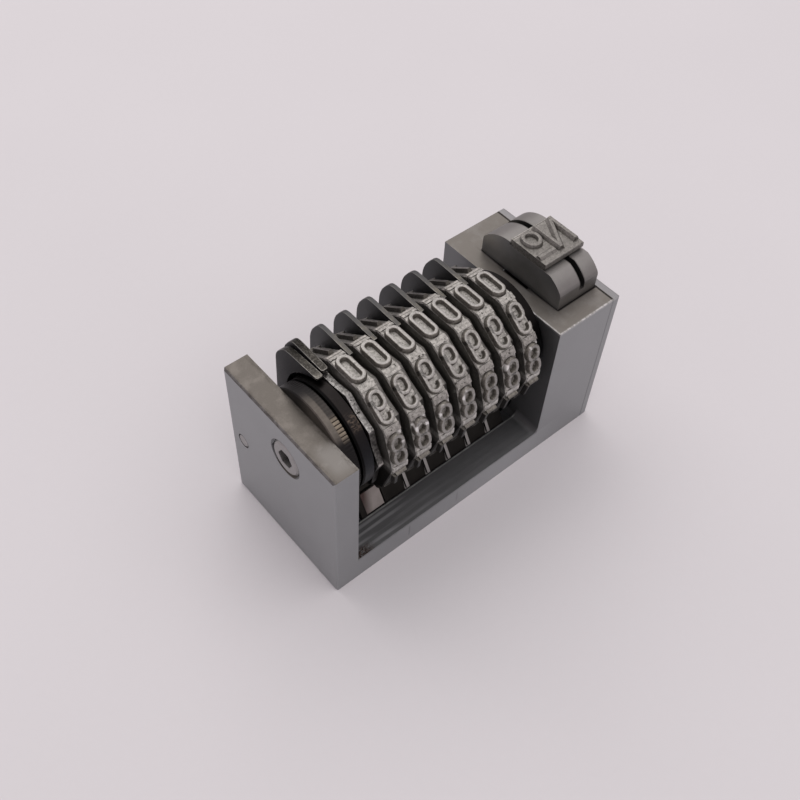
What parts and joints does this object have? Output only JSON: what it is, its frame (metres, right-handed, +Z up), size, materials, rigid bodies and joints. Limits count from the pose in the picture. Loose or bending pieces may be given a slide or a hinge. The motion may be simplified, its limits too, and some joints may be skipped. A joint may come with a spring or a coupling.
{
  "type": "numbering machine",
  "caption": "Typographic numbering machine: number wheels on one shaft in a steel frame, held by blade pawls and advanced by a sprung plunger with a number sign.",
  "frame": {"origin": "centre of the body's bottom face", "axes": "+X along the wheel shaft towards the plunger block, +Y to the back where the blade pawls pivot, +Z up to the printing side"},
  "size_m": [0.048, 0.0222, 0.0311],
  "materials": {
    "body_steel": "satin, bead blasted",
    "screw_steel": "satin, turned",
    "knurled_steel": "oiled, brownish",
    "wheel_steel": "rough, silver grey",
    "ratchet_steel": "satin",
    "blued_steel": "blued, satin",
    "dark_steel": "oiled, dark",
    "bright_leaf": "bright, slightly pink",
    "spring_steel": "drawn wire",
    "plunger_steel": "rough ground"
  },
  "bodies": {
    "body": {"frame": "body_steel", "end_cover": "body_steel", "cover_screws": "screw_steel", "wheel_shaft": "screw_steel", "pawl_shaft": "screw_steel", "knurled_collar": "knurled_steel", "return_spring": "spring_steel", "thrust_washer": "screw_steel", "plunger_spring": "spring_steel", "plunger_stop_screw": "screw_steel"},
    "wheel_1": {"number_wheel_1": "wheel_steel", "ratchet_1": "ratchet_steel"},
    "wheel_2": {"number_wheel_2": "wheel_steel", "ratchet_2": "ratchet_steel"},
    "wheel_3": {"number_wheel_3": "wheel_steel", "ratchet_3": "ratchet_steel"},
    "wheel_4": {"number_wheel_4": "wheel_steel", "ratchet_4": "ratchet_steel"},
    "wheel_5": {"number_wheel_5": "wheel_steel", "ratchet_5": "ratchet_steel"},
    "wheel_6": {"number_wheel_6": "wheel_steel", "ratchet_6": "ratchet_steel"},
    "wheel_7": {"number_wheel_7": "wheel_steel", "ratchet_7": "ratchet_steel"},
    "units_pawl": {"units_pawl_left": "blued_steel", "units_pawl_right": "blued_steel", "pawl_spring_1": "spring_steel"},
    "pawl_2": {"blade_pawl_2": "blued_steel", "pawl_spring_2": "spring_steel"},
    "pawl_3": {"blade_pawl_3": "blued_steel", "pawl_spring_3": "spring_steel"},
    "pawl_4": {"blade_pawl_4": "blued_steel", "pawl_spring_4": "spring_steel"},
    "pawl_5": {"blade_pawl_5": "blued_steel", "pawl_spring_5": "spring_steel"},
    "pawl_6": {"blade_pawl_6": "blued_steel", "pawl_spring_6": "spring_steel"},
    "pawl_7": {"blade_pawl_7": "blued_steel", "pawl_spring_7": "spring_steel"},
    "swing": {"swing_cheek_left": "dark_steel", "swing_cheek_right": "dark_steel", "swing_rod": "dark_steel", "swing_tie_rod": "dark_steel", "swing_pin": "screw_steel"},
    "drive_pawl": {"drive_pawl": "dark_steel", "pawl_leaf": "bright_leaf", "drive_pawl_spring": "spring_steel"},
    "plunger": {"plunger": "plunger_steel", "sign_plate": "plunger_steel"}
  },
  "joints": [
    {"name": "wheel_1_turn", "type": "hinge", "parent": "body", "child": "wheel_1", "pos_m": [-0.01386, -0.0013, 0.01944], "axis": [1, 0, 0], "continuous": true},
    {"name": "wheel_2_turn", "type": "hinge", "parent": "body", "child": "wheel_2", "pos_m": [-0.01009, -0.0013, 0.01944], "axis": [1, 0, 0], "continuous": true},
    {"name": "wheel_3_turn", "type": "hinge", "parent": "body", "child": "wheel_3", "pos_m": [-0.00631, -0.0013, 0.01944], "axis": [1, 0, 0], "continuous": true},
    {"name": "wheel_4_turn", "type": "hinge", "parent": "body", "child": "wheel_4", "pos_m": [-0.00253, -0.0013, 0.01944], "axis": [1, 0, 0], "continuous": true},
    {"name": "wheel_5_turn", "type": "hinge", "parent": "body", "child": "wheel_5", "pos_m": [0.00124, -0.0013, 0.01944], "axis": [1, 0, 0], "continuous": true},
    {"name": "wheel_6_turn", "type": "hinge", "parent": "body", "child": "wheel_6", "pos_m": [0.00502, -0.0013, 0.01944], "axis": [1, 0, 0], "continuous": true},
    {"name": "wheel_7_turn", "type": "hinge", "parent": "body", "child": "wheel_7", "pos_m": [0.00879, -0.0013, 0.01944], "axis": [1, 0, 0], "continuous": true},
    {"name": "units_pawl_swing", "type": "hinge", "parent": "body", "child": "units_pawl", "pos_m": [-0.01575, 0.0084, 0.0127], "axis": [-1, 0, 0], "range_deg": [0, 3], "stiffness_Nm_per_rad": 0.002, "springref_deg": -9.74},
    {"name": "pawl_2_swing", "type": "hinge", "parent": "body", "child": "pawl_2", "pos_m": [-0.01197, 0.0084, 0.0127], "axis": [-1, 0, 0], "range_deg": [0, 3], "stiffness_Nm_per_rad": 0.002, "springref_deg": -9.74},
    {"name": "pawl_3_swing", "type": "hinge", "parent": "body", "child": "pawl_3", "pos_m": [-0.0082, 0.0084, 0.0127], "axis": [-1, 0, 0], "range_deg": [0, 3], "stiffness_Nm_per_rad": 0.002, "springref_deg": -9.74},
    {"name": "pawl_4_swing", "type": "hinge", "parent": "body", "child": "pawl_4", "pos_m": [-0.00442, 0.0084, 0.0127], "axis": [-1, 0, 0], "range_deg": [0, 3], "stiffness_Nm_per_rad": 0.002, "springref_deg": -9.74},
    {"name": "pawl_5_swing", "type": "hinge", "parent": "body", "child": "pawl_5", "pos_m": [-0.00065, 0.0084, 0.0127], "axis": [-1, 0, 0], "range_deg": [0, 3], "stiffness_Nm_per_rad": 0.002, "springref_deg": -9.74},
    {"name": "pawl_6_swing", "type": "hinge", "parent": "body", "child": "pawl_6", "pos_m": [0.00313, 0.0084, 0.0127], "axis": [-1, 0, 0], "range_deg": [0, 3], "stiffness_Nm_per_rad": 0.002, "springref_deg": -9.74},
    {"name": "pawl_7_swing", "type": "hinge", "parent": "body", "child": "pawl_7", "pos_m": [0.0069, 0.0084, 0.0127], "axis": [-1, 0, 0], "range_deg": [0, 3], "stiffness_Nm_per_rad": 0.002, "springref_deg": -9.74},
    {"name": "swing_turn", "type": "hinge", "parent": "body", "child": "swing", "pos_m": [-0.00303, -0.0013, 0.01944], "axis": [1, 0, 0], "range_deg": [0, 39.63]},
    {"name": "drive_pawl_swing", "type": "hinge", "parent": "swing", "child": "drive_pawl", "pos_m": [-0.00253, -0.00312, 0.00597], "axis": [1, 0, 0], "range_deg": [0, 6], "stiffness_Nm_per_rad": 0.002, "springref_deg": -17.19},
    {"name": "plunger_slide", "type": "slide", "parent": "body", "child": "plunger", "axis": [0, 0, 1], "range_m": [-0.002, 0], "stiffness_N_per_m": 400, "springref_m": 0.004, "deforming": ["plunger_spring"]}
  ],
  "couplings": [
    {"joint": "swing_turn", "follows": "plunger_slide", "rad_per_m": -345.84}
  ]
}
